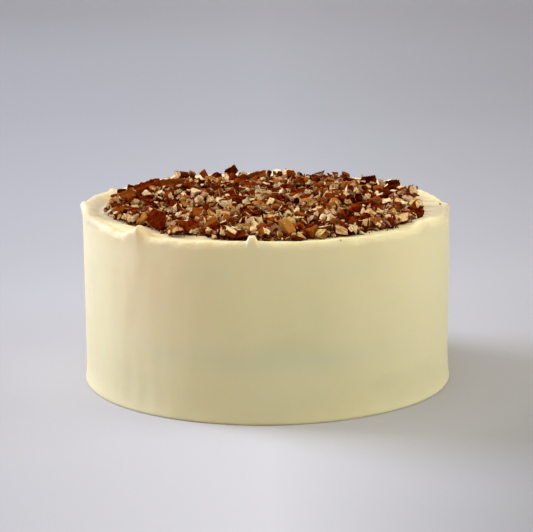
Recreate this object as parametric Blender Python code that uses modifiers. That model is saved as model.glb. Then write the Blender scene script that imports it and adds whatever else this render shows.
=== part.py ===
"""Round carrot cake, iced all over, with chopped pecans strewn over its top.

Metres, +Z up. The origin is the centre of the flat base, and the front of the cake faces -Y.
A turn is an angle about +Z, in radians, counted from the front towards +X.
"""

import math
import random

import bmesh
import bpy
import numpy as np
from mathutils import Euler, Matrix, Vector

# Iced cake
CAKE_RADIUS = 0.1030
FOOT_RADIUS = 0.1036
FOOT_HEIGHT = 0.0050
FOOT_CHAMFER = 0.0006
CREST_HEIGHT = 0.0977
CREST_RADIUS = 0.0998
CREST_WIDTH = 0.0024
EDGE_WIDE = 0.0024
EDGE_TALL = 0.0046
TOP_HEIGHT = 0.0964
TOP_RADIUS = 0.0930
HOLLOW_TURN = -82.0
HOLLOW_SPREAD = 34.0
HOLLOW_DEPTH = 0.0009
HOLLOW_RADIUS = 0.0920
HOLLOW_WIDTH = 0.0060
RIM_REACH = 0.0100
EDGE_RINGS = 3
WALL_RINGS = 3
TURN_STEPS = 140

# Peaks that the knife left on the rim: turn in degrees, rise, half width in degrees, lean out, squareness
RIM_PEAKS = (
    (-102.0, 0.0020, 12.0, 0.0000, 2.0),
    (-90.0, 0.0012, 2.4, 0.0018, 1.2),
    (-50.5, -0.0014, 5.0, 0.0000, 2.0),
    (-44.6, 0.0016, 2.4, 0.0003, 2.0),
    (-41.8, 0.0046, 1.4, 0.0006, 1.4),
    (-20.0, -0.0009, 9.0, 0.0000, 2.0),
    (-4.3, 0.0030, 1.35, 0.0000, 6.0),
    (49.0, -0.0008, 3.5, 0.0000, 2.0),
    (57.0, 0.0019, 2.2, 0.0002, 2.6),
    (74.0, -0.0010, 8.0, 0.0000, 2.0),
    (91.0, 0.0012, 2.4, 0.0014, 1.5),
    (133.0, 0.0022, 2.0, 0.0006, 1.6),
    (176.0, 0.0032, 2.1, -0.0002, 2.4),
    (-148.0, 0.0018, 2.4, 0.0008, 1.6),
    (-116.0, 0.0012, 1.8, -0.0004, 2.0),
)

# Slow waves: cycles in one turn, height or depth, phase
RIM_WAVES = ((1, 0.0005, 3.1), (2, 0.0003, 0.6), (5, 0.0004, 2.1), (9, 0.0003, 4.0), (16, 0.0002, 1.3))
WALL_WAVES = ((2, 0.0002, 1.1), (3, 0.0003, 3.9), (7, 0.00015, 0.4))

# Half of a pecan kernel, its long axis along X and its grooved back up
KERNEL_LENGTH = 0.0290
KERNEL_WIDTH = 0.0140
KERNEL_BACK = 0.0043
KERNEL_FACE = 0.0014
KERNEL_TAPER = 0.14
GROOVE_PLACE = 0.45
GROOVE_WIDTH = 0.17
GROOVE_DEPTH = 0.0012
KERNEL_SIDES = 6
KERNEL_RINGS = 4

# The heap: a low bed, with the pieces on it
GAP = 0.0003
HEAP_RADIUS = 0.0895
HEAP_LIMIT = 0.0945
CORE_RADIUS = 0.0860
CORE_LIMIT = 0.0925
CORE_CLEAR = 0.0002
RIM_CLIMB = 0.35
CORE_DEPTH = 0.0008
CORE_EDGE = 0.0050
CORE_LUMP = 0.0003
CORE_STEPS = 48
CORE_RINGS = 6
OUTLINE_WAVES = ((3, 0.0016, 0.9), (5, 0.0012, 2.7), (8, 0.0009, 5.1), (17, 0.0010, 0.3), (31, 0.0008, 2.0))
# Where the heap's edge spreads or draws back: turn in degrees, half width in degrees, reach, squareness
OUTLINE_BULGES = ((10.0, 70.0, 0.0045, 4), (-23.0, 6.0, -0.0060, 2))
SEED = 7
PIECES = 175
LONGEST_PIECE = 0.0116
SHORTEST_PIECE = 0.0046
SIZE_FALL = 2.0
THINNEST_PIECE = 0.0020
SPLIT_SHARE = 0.85
CORNER_SHARE = 0.40
STAND_SHARE = 0.30
STAND_LENGTH = 0.0072
TILT = 0.32
CELL = 0.0010
SPOTS = 60
SINK = 0.0008

# Pieces that stand out: the place of the middle, where the cuts start along the kernel and the length kept,
# the part of the width kept from and to, as shares of the width, and the roll, pitch and yaw in degrees
STRIKING_PIECES = (
    (-0.0690, 0.0360, -0.30, 0.0165, -0.50, -0.02, 25, -20, 4),
    (-0.0550, 0.0500, -0.20, 0.0150, -0.50, 0.02, 50, -6, 4),
    (-0.0835, 0.0330, 0.10, 0.0050, -0.50, -0.10, 55, 0, 25),
    (-0.0785, 0.0420, -0.30, 0.0045, -0.50, -0.08, 70, 10, -20),
    (-0.0790, 0.0120, -0.10, 0.0085, -0.50, -0.05, 35, -28, 8),
    (-0.0760, -0.0300, 0.20, 0.0055, -0.45, 0.00, 50, 0, 10),
    (-0.0700, -0.0420, -0.40, 0.0095, -0.50, -0.10, 40, -8, 12),
    (-0.0592, -0.0664, 0.08, 0.0098, -0.42, 0.34, 86, -66, -12),
    (-0.0478, -0.0768, 0.18, 0.0070, -0.30, 0.30, 10, -22, -78),
    (0.0107, -0.0842, -0.46, 0.0105, -0.10, 0.40, 20, 48, -58),
    (-0.0510, 0.0690, -0.10, 0.0080, -0.45, 0.18, 78, 12, 48),
    (-0.0210, 0.0760, 0.10, 0.0078, -0.50, 0.04, 72, -30, 10),
    (-0.0060, 0.0730, -0.40, 0.0135, -0.50, -0.06, 48, -16, 0),
    (0.0132, 0.0740, -0.10, 0.0068, -0.32, 0.30, 84, 6, 22),
    (0.0740, 0.0420, -0.20, 0.0085, -0.48, 0.02, 62, -8, -6),
    (0.0790, 0.0200, 0.10, 0.0060, -0.25, 0.22, 10, -18, -80),
    (0.0835, 0.0150, -0.20, 0.0050, -0.20, 0.20, 20, -16, -86),
    (0.0610, 0.0580, -0.10, 0.0085, -0.50, -0.04, 60, -6, -8),
    (0.0845, -0.0240, 0.05, 0.0052, -0.24, 0.20, 16, -36, -66),
)


def clear_scene():
    for obj in list(bpy.data.objects):
        bpy.data.objects.remove(obj)


def collection(name):
    found = bpy.data.collections.new(name)
    bpy.context.scene.collection.children.link(found)
    return found


def material(name, colour, roughness):
    made = bpy.data.materials.new(name)
    made.use_nodes = True
    shader = made.node_tree.nodes["Principled BSDF"]
    shader.inputs["Base Color"].default_value = (*colour, 1.0)
    shader.inputs["Roughness"].default_value = roughness
    shader.inputs["Metallic"].default_value = 0.0
    return made


def smooth_step(value, low, high):
    share = np.clip((value - low) / (high - low), 0.0, 1.0)
    return share * share * (3.0 - 2.0 * share)


def waves(turn, table):
    return sum(size * np.sin(cycles * turn + phase) for cycles, size, phase in table)


def turn_of(x, y):
    return np.arctan2(x, -y)


def evaluated_mesh(obj):
    graph = bpy.context.evaluated_depsgraph_get()
    return bpy.data.meshes.new_from_object(obj.evaluated_get(graph))


def turned(name, profile, steps):
    """A closed mesh turned from a profile of (radius, height) points, which runs down the outer side."""
    mesh = bpy.data.meshes.new(name)
    edges = [(i, i + 1) for i in range(len(profile) - 1)]
    mesh.from_pydata([(radius, 0.0, height) for radius, height in profile], edges, [])
    guide = bpy.data.objects.new(name + "_profile", mesh)
    bpy.context.scene.collection.objects.link(guide)
    screw = guide.modifiers.new("Screw", "SCREW")
    screw.steps = steps
    screw.render_steps = steps
    screw.use_merge_vertices = True
    screw.merge_threshold = 0.00005
    solid = evaluated_mesh(guide)
    bpy.data.objects.remove(guide)
    return solid


def away_from(turn, degrees):
    """The shorter way round from a place on the rim to this turn."""
    return (turn - math.radians(degrees) + math.pi) % math.tau - math.pi


def onto_peak(turn):
    """The turn, or a peak's own where this is the step nearest to it, so that the peak keeps its height."""
    for degrees, *_ in RIM_PEAKS:
        away = away_from(turn, degrees)
        if abs(away) < math.pi / TURN_STEPS:
            return turn - away
    return turn


def peaks_at(turn):
    """How far the peaks raise the rim and lean it outwards at a turn."""
    rise, lean = 0.0, 0.0
    for degrees, height, half_width, outwards, squareness in RIM_PEAKS:
        away = abs(away_from(turn, degrees)) / math.radians(half_width)
        share = math.exp(-(away**squareness))
        rise += height * share
        lean += outwards * share
    return rise, lean


def hollow(radius, turn):
    """How deep the knife left the top inside the rim on the left."""
    along = math.exp(-((away_from(turn, HOLLOW_TURN) / math.radians(HOLLOW_SPREAD)) ** 2))
    return HOLLOW_DEPTH * along * math.exp(-(((radius - HOLLOW_RADIUS) / HOLLOW_WIDTH) ** 2))


def icing_profile():
    """Half section of the iced cake, from the middle of the top, over the rim and down to the base."""
    rise = CREST_HEIGHT - TOP_HEIGHT
    points = [
        (0.0, TOP_HEIGHT),
        (HOLLOW_RADIUS - HOLLOW_WIDTH, TOP_HEIGHT),
        (TOP_RADIUS, TOP_HEIGHT),
        (TOP_RADIUS + 0.4 * (CREST_RADIUS - TOP_RADIUS), TOP_HEIGHT + 0.3 * rise),
        (CREST_RADIUS - CREST_WIDTH / 2, CREST_HEIGHT - 0.2 * rise),
        (CREST_RADIUS, CREST_HEIGHT),
    ]
    wall_top = CREST_HEIGHT - EDGE_TALL
    for ring in range(1, EDGE_RINGS + 1):
        a = math.pi / 2 * ring / EDGE_RINGS
        points.append((CAKE_RADIUS - EDGE_WIDE * (1 - math.sin(a)), wall_top + EDGE_TALL * math.cos(a)))
    step = (wall_top - FOOT_HEIGHT) / WALL_RINGS
    points += [(CAKE_RADIUS, wall_top - step * ring) for ring in range(1, WALL_RINGS)]
    points += [
        (FOOT_RADIUS, FOOT_HEIGHT),
        (FOOT_RADIUS, FOOT_CHAMFER),
        (FOOT_RADIUS - FOOT_CHAMFER, 0.0),
        (0.0, 0.0),
    ]
    return points


def knife_the_icing(mesh):
    """Moves the turned points as a palette knife leaves them: an uneven wall, and peaks on the rim."""
    for vertex in mesh.vertices:
        x, y, z = vertex.co
        radius = math.hypot(x, y)
        if radius < FOOT_CHAMFER:
            continue
        turn = onto_peak(turn_of(x, y))
        inner = smooth_step(radius, TOP_RADIUS, CREST_RADIUS - CREST_WIDTH / 2)
        outer = smooth_step(z, CREST_HEIGHT - RIM_REACH, CREST_HEIGHT - EDGE_TALL / 3)
        share = inner * outer**2
        rise, lean = peaks_at(turn)
        wall = smooth_step(radius, CREST_RADIUS, CAKE_RADIUS - EDGE_WIDE / 2)
        out = radius + share * lean + wall * waves(turn + 6.0 * z, WALL_WAVES)
        up = share * (rise + waves(turn, RIM_WAVES))
        if z > CREST_HEIGHT / 2:
            up -= hollow(radius, turn)
        vertex.co = (out * math.sin(turn), -out * math.cos(turn), z + up)


def iced_cake(place, finish):
    mesh = turned("iced_cake", icing_profile(), TURN_STEPS)
    knife_the_icing(mesh)
    mesh.materials.append(finish)
    cake = bpy.data.objects.new("iced_cake", mesh)
    place.objects.link(cake)
    mesh.shade_smooth()
    mesh.set_sharp_from_angle(angle=math.radians(50))
    return cake


def kernel_half(sides, rings):
    """Half a kernel: an egg with a grooved back and a flatter face."""
    bm = bmesh.new()
    bmesh.ops.create_uvsphere(bm, u_segments=sides, v_segments=rings, radius=1.0)
    bmesh.ops.rotate(bm, verts=bm.verts, matrix=Matrix.Rotation(math.pi / 2, 3, "Y"))
    for vertex in bm.verts:
        x, y, z = vertex.co
        across = y * (1.0 - KERNEL_TAPER * x)
        up = z * (KERNEL_BACK if z > 0.0 else KERNEL_FACE)
        if z > 0.0:
            groove = math.exp(-(((abs(y) - GROOVE_PLACE) / GROOVE_WIDTH) ** 2))
            up -= GROOVE_DEPTH * groove * (1.0 - x * x)
        vertex.co = (x * KERNEL_LENGTH / 2, across * KERNEL_WIDTH / 2, up)
    return bm


def tilted(rng, normal, most):
    """The direction turned a little at random, as a knife's blade is never quite square."""
    turn = Euler([rng.uniform(-most, most) for _ in range(3)])
    return turn.to_matrix() @ Vector(normal)


def knife_cuts(rng, length):
    """The planes that chop a piece of this length from half a kernel, each a point and the side that goes."""
    start = rng.uniform(-0.46, 0.46 - length / KERNEL_LENGTH) * KERNEL_LENGTH
    cuts = [
        (Vector((start, 0.0, 0.0)), tilted(rng, (-1.0, 0.0, 0.0), 0.35)),
        (Vector((start + length, 0.0, 0.0)), tilted(rng, (1.0, 0.0, 0.0), 0.35)),
    ]
    side = rng.choice((-1.0, 1.0))
    if rng.random() < SPLIT_SHARE:
        place = Vector((start, side * rng.uniform(-0.05, 0.22) * KERNEL_WIDTH, 0.0))
        cuts.append((place, tilted(rng, (0.0, side, 0.0), 0.4)))
    if rng.random() < CORNER_SHARE:
        place = Vector((start + length / 2, -side * 0.12 * KERNEL_WIDTH, KERNEL_BACK * 0.3))
        cuts.append((place, tilted(rng, (0.3, -side, rng.uniform(-1.0, 1.0)), 0.5).normalized()))
    return cuts


def chop(bm, cuts):
    for point, normal in cuts:
        everything = bm.verts[:] + bm.edges[:] + bm.faces[:]
        bmesh.ops.bisect_plane(
            bm, geom=everything, dist=1e-6, plane_co=point, plane_no=normal, clear_outer=True
        )
        bmesh.ops.holes_fill(bm, edges=bm.edges, sides=0)
    bmesh.ops.triangulate(bm, faces=bm.faces)
    return bm


def corners_of(bm):
    """The mesh as an array of points and an array of triangles."""
    bm.verts.index_update()
    points = np.array([vertex.co[:] for vertex in bm.verts])
    triangles = np.array([[vertex.index for vertex in face.verts] for face in bm.faces])
    return points, triangles


def lying(rng, size):
    """A turn for a piece that has dropped: its thinnest way up, or its next thinnest, either face up."""
    thin, middle, _ = sorted(range(3), key=lambda axis: size[axis])
    up = middle if rng.random() < STAND_SHARE and max(size) < STAND_LENGTH else thin
    flip = Euler(((0.0, math.pi / 2, 0.0), (math.pi / 2, 0.0, 0.0), (0.0, 0.0, 0.0))[up]).to_matrix()
    over = Matrix.Rotation(rng.choice((0.0, math.pi)), 3, "X")
    steep = TILT * min(1.0, STAND_LENGTH / max(size))
    tilt = Euler((rng.gauss(0.0, steep), rng.gauss(0.0, steep), rng.uniform(0.0, math.tau))).to_matrix()
    return tilt @ over @ flip


def cell_range(values):
    return math.floor(values.min() / CELL), math.ceil(values.max() / CELL)


def under_and_over(points, triangles):
    """The piece's lower and upper heights on a grid of cells, and the grid's first cell."""
    (x0, x1), (y0, y1) = cell_range(points[:, 0]), cell_range(points[:, 1])
    under = np.full((x1 - x0 + 1, y1 - y0 + 1), np.inf)
    over = np.full_like(under, -np.inf)
    for a, b, c in points[triangles]:
        (i0, i1), (j0, j1) = (cell_range(np.array([a[k], b[k], c[k]])) for k in (0, 1))
        px, py = np.meshgrid(np.arange(i0, i1 + 1) * CELL, np.arange(j0, j1 + 1) * CELL, indexing="ij")
        area = (b[0] - a[0]) * (c[1] - a[1]) - (c[0] - a[0]) * (b[1] - a[1])
        if abs(area) < 1e-10:
            continue
        v = ((px - a[0]) * (c[1] - a[1]) - (c[0] - a[0]) * (py - a[1])) / area
        w = ((b[0] - a[0]) * (py - a[1]) - (px - a[0]) * (b[1] - a[1])) / area
        inside = (v >= -0.1) & (w >= -0.1) & (v + w <= 1.1)
        height = a[2] + v * (b[2] - a[2]) + w * (c[2] - a[2])
        window = (slice(i0 - x0, i1 - x0 + 1), slice(j0 - y0, j1 - y0 + 1))
        under[window] = np.where(inside, np.minimum(under[window], height), under[window])
        over[window] = np.where(inside, np.maximum(over[window], height), over[window])
    return under, over, (x0, y0)


def outline(turn):
    """How far the heap's edge is from its mean radius at a turn."""
    reach = waves(turn, OUTLINE_WAVES)
    for degrees, half_width, more, squareness in OUTLINE_BULGES:
        away = np.abs(away_from(turn, degrees)) / math.radians(half_width)
        reach = reach + more * np.exp(-(away**squareness))
    return reach


def core_edge(turn):
    return np.minimum(CORE_RADIUS + outline(turn), CORE_LIMIT)


def core_height(x, y):
    """Height of the bed's top above the base: a low, lumpy layer that thins out at its uneven edge."""
    share = np.sqrt(np.clip((core_edge(turn_of(x, y)) - np.hypot(x, y)) / CORE_EDGE, 0.0, 1.0))
    lumps = np.sin(x / 0.0047 + 1.7) * np.sin(y / 0.0053) + np.sin((x + y) / 0.0081)
    return TOP_HEIGHT + GAP + share * (CORE_DEPTH + CORE_LUMP * lumps)


def ground(x, y):
    """The lowest that a piece lies: flat over the top, and up the inner side of the rim."""
    climb = RIM_CLIMB * np.maximum(np.hypot(x, y) - CORE_LIMIT, 0.0)
    return TOP_HEIGHT + GAP + CORE_CLEAR + climb


def empty_heap():
    """The heights that the first pieces drop on, on a square grid round the axis."""
    half = math.ceil(CAKE_RADIUS / CELL)
    ticks = np.arange(-half, half + 1) * CELL
    x, y = ticks[:, None], ticks[None, :]
    return np.maximum(core_height(x, y), ground(x, y)), half


def drop(heap, half, points, triangles, spots, sink):
    """Lets one piece fall at the lowest of several spots, and returns how far it moves."""
    under, over, first = under_and_over(points, triangles)
    wide, deep = under.shape
    best = None
    for x, y in spots:
        i, j = round(x / CELL) - wide // 2 + half, round(y / CELL) - deep // 2 + half
        below = heap[i : i + wide, j : j + deep]
        rest = float(np.max(np.where(np.isfinite(under), below - under, -np.inf)))
        if best is None or rest < best[0]:
            best = (rest, i, j)
    rest, i, j = best
    rest -= sink
    heap[i : i + wide, j : j + deep] = np.maximum(heap[i : i + wide, j : j + deep], over + rest)
    return Vector(((i - half - first[0]) * CELL, (j - half - first[1]) * CELL, rest))


def random_spots(rng, points, count):
    """Places all over the heap where a piece of this size stays inside the outline."""
    size = max(np.ptp(points[:, 0]), np.ptp(points[:, 1])) + CELL
    spots = []
    for _ in range(count):
        turn, radius = rng.uniform(-math.pi, math.pi), math.sqrt(rng.random())
        reach = min(HEAP_RADIUS + outline(turn), HEAP_LIMIT) - size / 2
        spots.append((radius * reach * math.sin(turn), -radius * reach * math.cos(turn)))
    return spots


def chopped(cuts, thinnest):
    """A piece of kernel within the cuts, round its own middle, and its size, or nothing if it is a sliver."""
    bm = chop(kernel_half(KERNEL_SIDES, KERNEL_RINGS), cuts)
    if len(bm.faces) < 4:
        return None
    points, _ = corners_of(bm)
    low, high = points.min(axis=0), points.max(axis=0)
    if min(high - low) < thinnest:
        return None
    bmesh.ops.translate(bm, verts=bm.verts, vec=-Vector((low + high) / 2))
    return bm, high - low


def heap_core():
    """The core under the pieces: a turned disc whose top and edge follow core_height."""
    floor = TOP_HEIGHT + GAP
    rings = [CORE_RADIUS * math.sqrt(ring / CORE_RINGS) for ring in range(CORE_RINGS + 1)]
    profile = [(radius, floor + CORE_DEPTH) for radius in rings] + [(CORE_RADIUS, floor), (0.0, floor)]
    mesh = turned("heap_core", profile, CORE_STEPS)
    for vertex in mesh.vertices:
        x, y, z = vertex.co
        scale = core_edge(turn_of(x, y)) / CORE_RADIUS
        x, y = x * scale, y * scale
        if z > floor + CORE_DEPTH / 2:
            z = max(floor + CORE_DEPTH / 2, core_height(x, y))
        vertex.co = (x, y, z)
    return bpy.data.objects.new("chopped_pecans", mesh)


def set_down(bm, place):
    """The piece moved to its place, as an object of its own."""
    bmesh.ops.translate(bm, verts=bm.verts, vec=place)
    mesh = bpy.data.meshes.new("piece")
    bm.to_mesh(mesh)
    bm.free()
    return bpy.data.objects.new("piece", mesh)


def striking_pieces(heap, half):
    """The pieces that stand out, each set down at its own place."""
    pieces = []
    for x, y, start, length, low, high, roll, pitch, yaw in STRIKING_PIECES:
        start *= KERNEL_LENGTH
        cuts = [
            (Vector((start, 0.0, 0.0)), Vector((-1.0, 0.2, 0.1)).normalized()),
            (Vector((start + length, 0.0, 0.0)), Vector((1.0, 0.1, -0.2)).normalized()),
            (Vector((start, low * KERNEL_WIDTH, 0.0)), Vector((0.1, -1.0, 0.2)).normalized()),
            (Vector((start, high * KERNEL_WIDTH, 0.0)), Vector((0.0, 1.0, 0.1)).normalized()),
        ]
        bm, _ = chopped(cuts, THINNEST_PIECE)
        turn = Euler([math.radians(angle) for angle in (roll, pitch, yaw)]).to_matrix()
        bmesh.ops.rotate(bm, verts=bm.verts, matrix=turn)
        pieces.append(set_down(bm, drop(heap, half, *corners_of(bm), [(x, y)], SINK)))
    return pieces


def fallen_pieces(heap, half):
    """The other chopped pieces, largest first, each dropped where the heap is low."""
    rng = random.Random(SEED)
    pieces = []
    while len(pieces) < PIECES:
        share = (1.0 - len(pieces) / (PIECES - 1)) ** SIZE_FALL
        length = SHORTEST_PIECE + (LONGEST_PIECE - SHORTEST_PIECE) * share
        made = chopped(knife_cuts(rng, length), THINNEST_PIECE)
        if made is None:
            continue
        bm, size = made
        bmesh.ops.rotate(bm, verts=bm.verts, matrix=lying(rng, size))
        points, triangles = corners_of(bm)
        spots = random_spots(rng, points, SPOTS)
        pieces.append(set_down(bm, drop(heap, half, points, triangles, spots, SINK)))
    return pieces


def islands(bm):
    """The separate shells of a mesh, each a list of faces."""
    left, found = set(bm.faces), []
    while left:
        shell, edge = [], [left.pop()]
        while edge:
            face = edge.pop()
            shell.append(face)
            near = {other for line in face.edges for other in line.link_faces} & left
            left -= near
            edge.extend(near)
        found.append(shell)
    return found


def keep_largest_shell(mesh):
    """Drops loose scraps, and fills the hollows that the union sealed, whose shells lie inside."""
    bm = bmesh.new()
    bm.from_mesh(mesh)
    shells = sorted(islands(bm), key=len)
    for shell in shells[:-1]:
        bmesh.ops.delete(bm, geom=shell, context="FACES")
    bm.to_mesh(mesh)
    bm.free()


def lift_to_ground(mesh):
    """Presses any corner that dips into the icing back up."""
    for vertex in mesh.vertices:
        x, y, z = vertex.co
        vertex.co.z = max(z, ground(x, y))


def chopped_pecans(place, finish):
    core = heap_core()
    place.objects.link(core)
    loose = collection("loose_pieces")
    heap, half = empty_heap()
    for piece in striking_pieces(heap, half) + fallen_pieces(heap, half):
        lift_to_ground(piece.data)
        loose.objects.link(piece)
    join = core.modifiers.new("Join", "BOOLEAN")
    join.operation = "UNION"
    join.operand_type = "COLLECTION"
    join.collection = loose
    join.solver = "MANIFOLD"
    mesh = evaluated_mesh(core)
    core.modifiers.clear()
    core.data = mesh
    for piece in list(loose.objects):
        bpy.data.objects.remove(piece)
    bpy.data.collections.remove(loose)
    keep_largest_shell(mesh)
    mesh.materials.clear()
    mesh.materials.append(finish)
    return core


def main():
    clear_scene()
    cake = collection("carrot_cake")
    icing = material("icing", (0.85, 0.78, 0.56), 0.55)
    pecan = material("pecan", (0.34, 0.15, 0.06), 0.55)
    iced_cake(cake, icing)
    chopped_pecans(cake, pecan)


main()
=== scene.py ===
"""The looks of a round carrot cake: ivory icing left by a palette knife, and chopped pecans on its top.

Metres, +Z up. The origin is the centre of the flat base, and the front of the cake faces -Y.
A turn is an angle about +Z, in radians, counted from the front towards +X.
"""

import math
import random
from collections import namedtuple

import bmesh
import bpy
import numpy as np
from mathutils import Euler, Matrix, Vector


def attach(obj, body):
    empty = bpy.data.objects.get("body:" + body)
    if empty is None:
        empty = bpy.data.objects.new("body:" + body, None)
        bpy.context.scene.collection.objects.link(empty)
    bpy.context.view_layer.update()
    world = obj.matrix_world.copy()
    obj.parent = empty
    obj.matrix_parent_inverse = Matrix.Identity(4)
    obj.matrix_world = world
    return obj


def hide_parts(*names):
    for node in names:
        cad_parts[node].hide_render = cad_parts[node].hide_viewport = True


# The camera, fitted to the photograph: 533 by 532 pixels
FRAME_WIDTH = 533
FOCAL_PIXELS = 2168.7
SENSOR = 36.0
CAMERA_PLACE = (-0.0001, -1.1957, 0.3315)
CAMERA_PITCH = 12.67
CAMERA_ROLL = -0.387

# Iced cake, as in the CAD
CAKE_RADIUS = 0.1030
FOOT_RADIUS = 0.1036
FOOT_HEIGHT = 0.0050
CREST_HEIGHT = 0.0977
CREST_RADIUS = 0.0998
CREST_WIDTH = 0.0024
EDGE_WIDE = 0.0024
EDGE_TALL = 0.0046
TOP_HEIGHT = 0.0964
TOP_RADIUS = 0.0930
HOLLOW_TURN = -82.0
HOLLOW_SPREAD = 34.0
HOLLOW_DEPTH = 0.0009
HOLLOW_RADIUS = 0.0920
HOLLOW_WIDTH = 0.0060
RIM_REACH = 0.0100

# Peaks that the knife left on the rim: turn in degrees, rise, half width in degrees, lean out, squareness
RIM_PEAKS = (
    (-102.0, 0.0020, 12.0, 0.0000, 2.0),
    (-90.0, 0.0012, 2.4, 0.0018, 1.2),
    (-50.5, -0.0014, 5.0, 0.0000, 2.0),
    (-44.6, 0.0016, 2.4, 0.0003, 2.0),
    (-41.8, 0.0046, 1.4, 0.0006, 1.4),
    (-20.0, -0.0009, 9.0, 0.0000, 2.0),
    (-4.3, 0.0030, 1.35, 0.0000, 6.0),
    (49.0, -0.0008, 3.5, 0.0000, 2.0),
    (57.0, 0.0019, 2.2, 0.0002, 2.6),
    (74.0, -0.0010, 8.0, 0.0000, 2.0),
    (91.0, 0.0012, 2.4, 0.0014, 1.5),
    (133.0, 0.0022, 2.0, 0.0006, 1.6),
    (176.0, 0.0032, 2.1, -0.0002, 2.4),
    (-148.0, 0.0018, 2.4, 0.0008, 1.6),
    (-116.0, 0.0012, 1.8, -0.0004, 2.0),
)

# Slow waves: cycles in one turn, height or depth, phase
RIM_WAVES = ((1, 0.0005, 3.1), (2, 0.0003, 0.6), (5, 0.0004, 2.1), (9, 0.0003, 4.0), (16, 0.0002, 1.3))
WALL_WAVES = ((2, 0.0002, 1.1), (3, 0.0003, 3.9), (7, 0.00015, 0.4))
# How far the wall's waves turn on their way up, in radians a metre
WALL_TWIST = 6.0

# Relief of the icing: the height, length and seed of each noise, and how it is stretched along X, Y and Z
EVENLY = (1.0, 1.0, 1.0)
SMEARS = ((0.00014, 0.0300, 3, (1.0, 1.0, 2.2)), (0.00005, 0.0100, 4, EVENLY))
SMEAR_SETBACK = 0.0004
RAGGED_EDGE = ((0.00020, 0.0120, 5, EVENLY), (0.00006, 0.0045, 6, EVENLY), (0.00004, 0.0020, 7, EVENLY))
SHELF_STROKES = ((0.00012, 0.0120, 8, (1.6, 1.0, 1.0)),)
# Over how much height or radius the relief of the wall and of the top fades in
SMEAR_FADE = 0.0040
SHELF_FADE = 0.0060
# Above this height a point belongs to the top, not to the base
TOP_SIDE = 0.05

# Marks of the knife's tip inside the rim
SWIRL_PLACE = (-0.0890, 0.0030)
SWIRL_SPACING = 0.0032
SWIRL_REACH = 0.0140
SWIRL_DEPTH = 0.00022

# Patches of tint on the icing: the middle, how far each reaches along X, Y and Z, and how it tints. The first
# five are painted shade, darkening where the lamps light the icing less: the hollow inside the rim on the
# left and its far side, the top of the rim at the front left, the top inside the rim on the right, and the
# upper wall at the front left. The sixth makes the low front of the wall a little darker and greener. The
# last but two is a low band where what is under the icing shows faintly, and the last two are faint bluish
# patches where the icing is thinner.
ICING_TINTS_AND_PAINTED_SHADE = (
    ((-0.0890, -0.0260, 0.0964), (0.0260, 0.0320, 0.0040), (0.690, 0.640, 0.675)),
    ((-0.0925, 0.0060, 0.0975), (0.0180, 0.0280, 0.0080), (0.860, 0.850, 1.120)),
    ((-0.0700, -0.0600, 0.0975), (0.0400, 0.0400, 0.0120), (0.955, 0.905, 0.905)),
    ((0.0960, -0.0120, 0.0970), (0.0280, 0.0280, 0.0045), (0.720, 0.680, 0.780)),
    ((-0.0600, -0.0840, 0.0720), (0.0450, 0.0450, 0.0450), (0.985, 0.925, 0.925)),
    ((0.0150, -0.1030, 0.0380), (0.0800, 0.0800, 0.0800), (0.930, 0.960, 0.940)),
    ((0.0050, -0.1000, 0.0345), (0.0950, 0.0700, 0.0110), (0.925, 0.970, 1.020)),
    ((-0.0330, -0.0976, 0.0800), (0.0220, 0.0220, 0.0090), (0.960, 0.990, 1.030)),
    ((0.0480, -0.0910, 0.0820), (0.0320, 0.0320, 0.0090), (0.960, 0.985, 1.020)),
)

# Where the icing fills the top out to the rim: turn and half width in degrees, and the rise
FILLED = ((88.0, 38.0, 0.0007), (-58.0, 17.0, 0.0016))
FILLED_FROM = 0.0860
FILLED_FADE_IN = 0.0060
FILLED_FADE_OUT = 0.0040
FILLED_TO = 0.0995

# A soft ridge down the wall below a peak
RIDGE_TURN = -43.0
RIDGE_WIDTH = 4.0
RIDGE_RISE = 0.0004
RIDGE_FOOT = 0.058

# Fineness of the icing's mesh
ICING_STEPS = 1200
WALL_SPACING = 0.0040
RIM_SPACING = 0.0007
TOP_SPACING = 0.0008
EDGE_POINTS = 6
UNDER_NUTS = 0.0800
UNDER_RINGS = 6
# The rounded foot, from the wall to the base: how far each point is outside FOOT_RADIUS, and its height
FOOT_LINE = (
    (-0.0004, 0.0065), (-0.0001, 0.0030), (0.0000, 0.0016),
    (-0.0001, 0.0007), (-0.0005, 0.0001), (-0.0010, 0.0000),
)
BASE_RING = 0.0600

# Half of a pecan kernel, its long axis along X and its grooved back up
KERNEL_LENGTH = 0.0290
KERNEL_WIDTH = 0.0140
KERNEL_BACK = 0.0043
KERNEL_FACE = 0.0014
KERNEL_TAPER = 0.14
GROOVE_PLACE = 0.45
GROOVE_WIDTH = 0.17
GROOVE_DEPTH = 0.0012
KERNEL_SIDES = 6
KERNEL_RINGS = 4
FURROW_WIDTH = 0.16
FURROW_DEPTH = 0.0011
WRINKLE_LENGTH = 0.0032
WRINKLE_STRETCH = (2.6, 1.0, 1.0)
WRINKLE_DEPTH = 0.00022

# How a knife chops a half kernel: places as shares of its size, and how far off square a cut is, in radians
KERNEL_ENDS = 0.46
END_TILT = 0.35
SPLIT_PLACES = (-0.05, 0.22)
SPLIT_TILT = 0.40
CORNER_PLACE = 0.12
CORNER_LEVEL = 0.30
CORNER_TILT = 0.50
BIT_PLACES = 0.30
BIT_WIDTHS = (0.30, 0.62)
BIT_TILT = 0.60
BIT_FLAT_SHARE = 0.50
BIT_LEVELS = (-0.10, 0.40)
BIT_FLAT_TILT = 0.50

# The heap: a low bed, with the pieces on it
GAP = 0.0003
HEAP_RADIUS = 0.0895
HEAP_LIMIT = 0.0945
CORE_RADIUS = 0.0860
CORE_LIMIT = 0.0925
CORE_CLEAR = 0.0002
RIM_CLIMB = 0.35
CORE_DEPTH = 0.0008
CORE_EDGE = 0.0050
CORE_LUMP = 0.0003
OUTLINE_WAVES = ((3, 0.0016, 0.9), (5, 0.0012, 2.7), (8, 0.0009, 5.1), (17, 0.0010, 0.3), (31, 0.0008, 2.0))
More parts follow.
